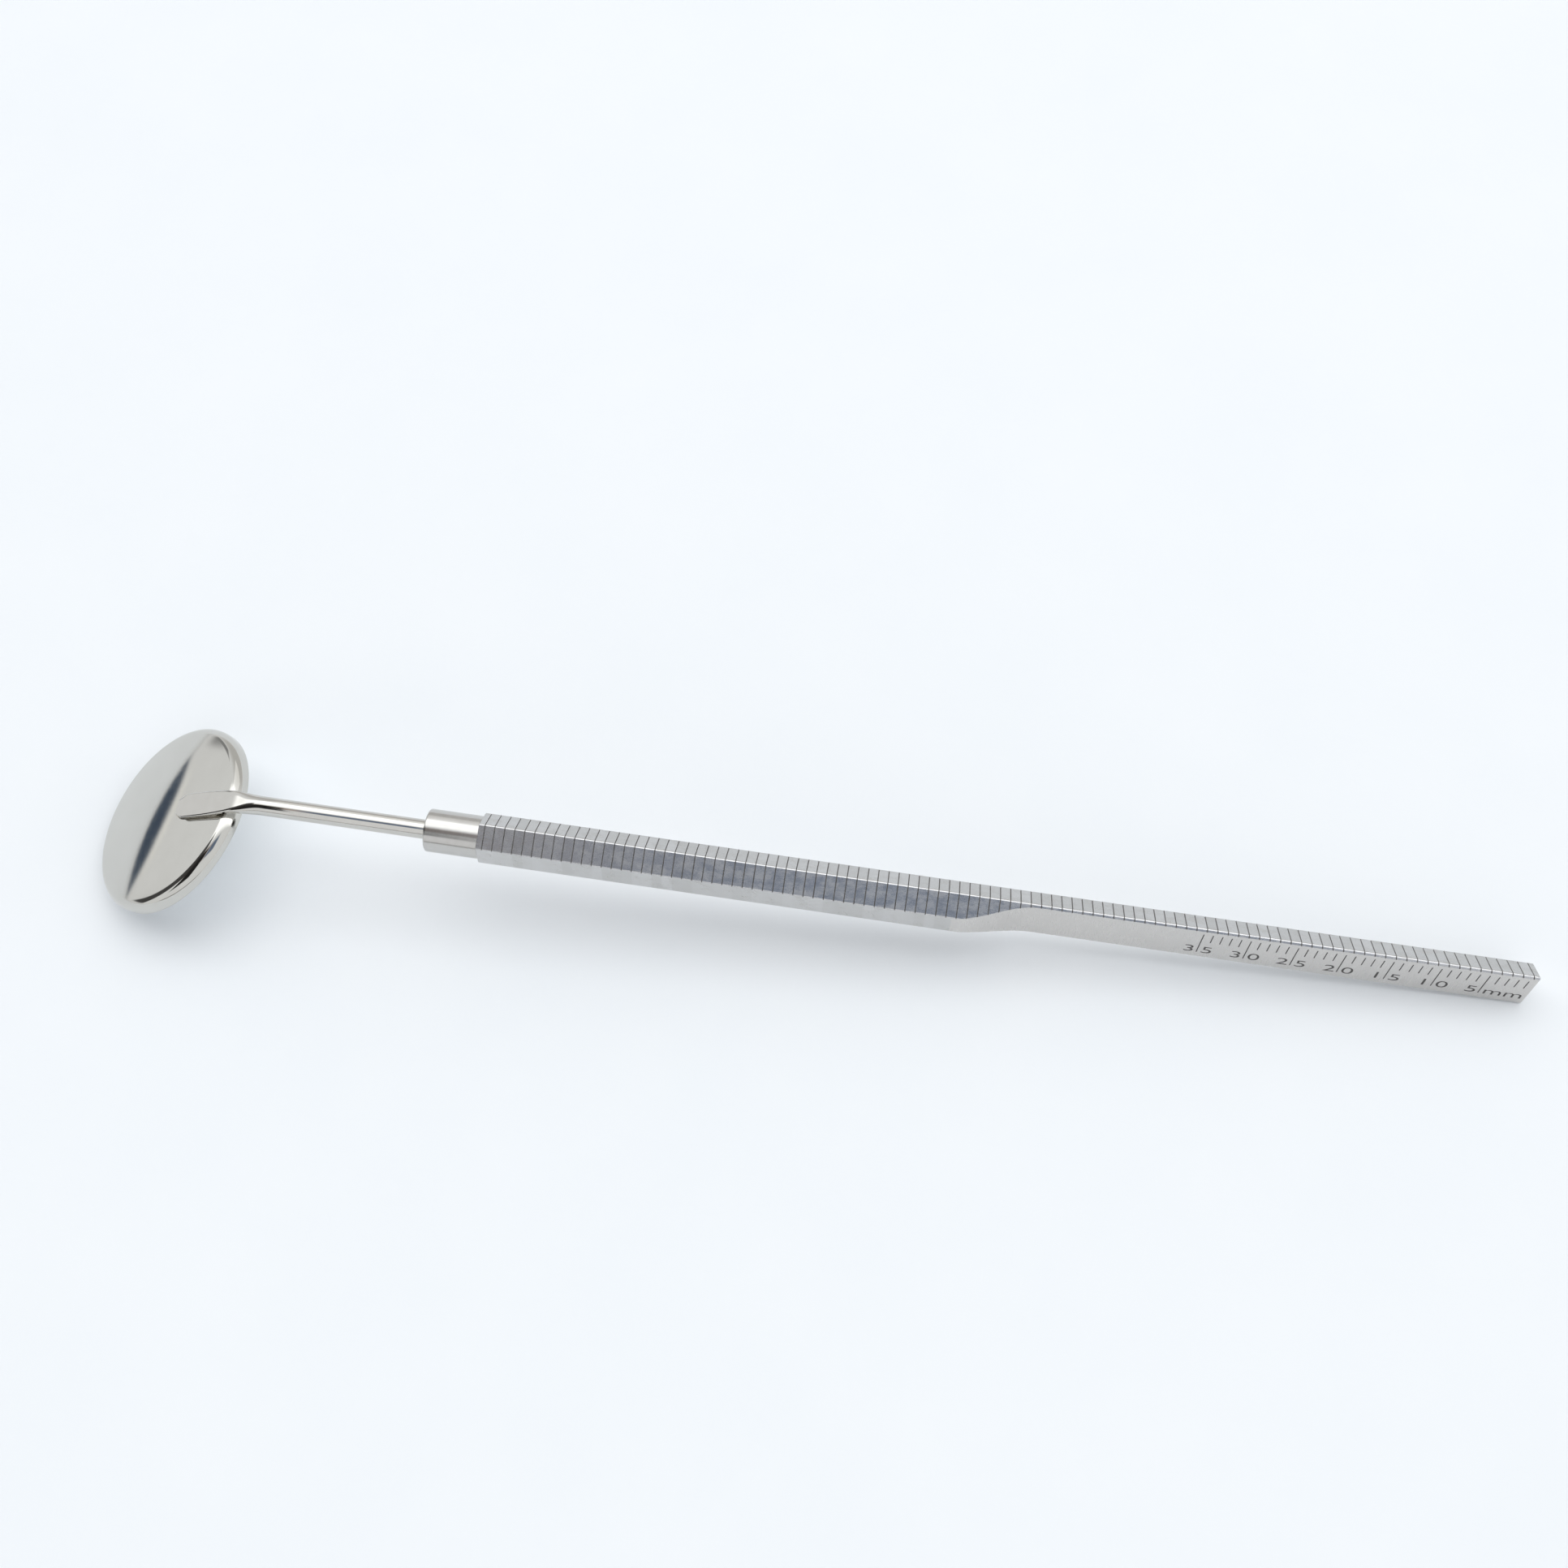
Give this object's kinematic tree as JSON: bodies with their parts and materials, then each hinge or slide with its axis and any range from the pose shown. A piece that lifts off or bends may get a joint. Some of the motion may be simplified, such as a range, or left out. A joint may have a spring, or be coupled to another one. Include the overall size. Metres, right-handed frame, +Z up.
{
  "type": "mouth mirror",
  "caption": "Hand-held round dental mirror: tilted glass in a pressed steel cup on a bent stem that screws into a grooved hexagonal handle with a milled ruler flat.",
  "frame": {"origin": "middle of the footprint of the instrument lying on a surface, at the surface", "axes": "+Z up, +X along the handle from the mirror head towards the tail, and -Y the side that the ruler flat faces"},
  "size_m": [0.162, 0.023, 0.0147],
  "materials": {
    "handle_steel": "satin machined stainless steel with fine cross grooves",
    "stem_steel": "polished stainless steel",
    "cup_steel": "polished pressed stainless steel",
    "mirror_face": "front-coated mirror glass",
    "pad": "grey backing pad",
    "sealant": "pale grey sealant",
    "braze_filler": "silver braze filler"
  },
  "bodies": {
    "handle": {"handle": "handle_steel"},
    "head": {"stem": "stem_steel", "back_cup": "cup_steel", "mirror_glass": "mirror_face", "backing_pad": "pad", "edge_seal": "sealant", "braze": "braze_filler"}
  },
  "joints": [
    {"name": "head_turn", "type": "hinge", "parent": "handle", "child": "head", "pos_m": [-0.03847, 0, 0.01202], "axis": [0.997, 0, -0.0778], "continuous": true}
  ]
}
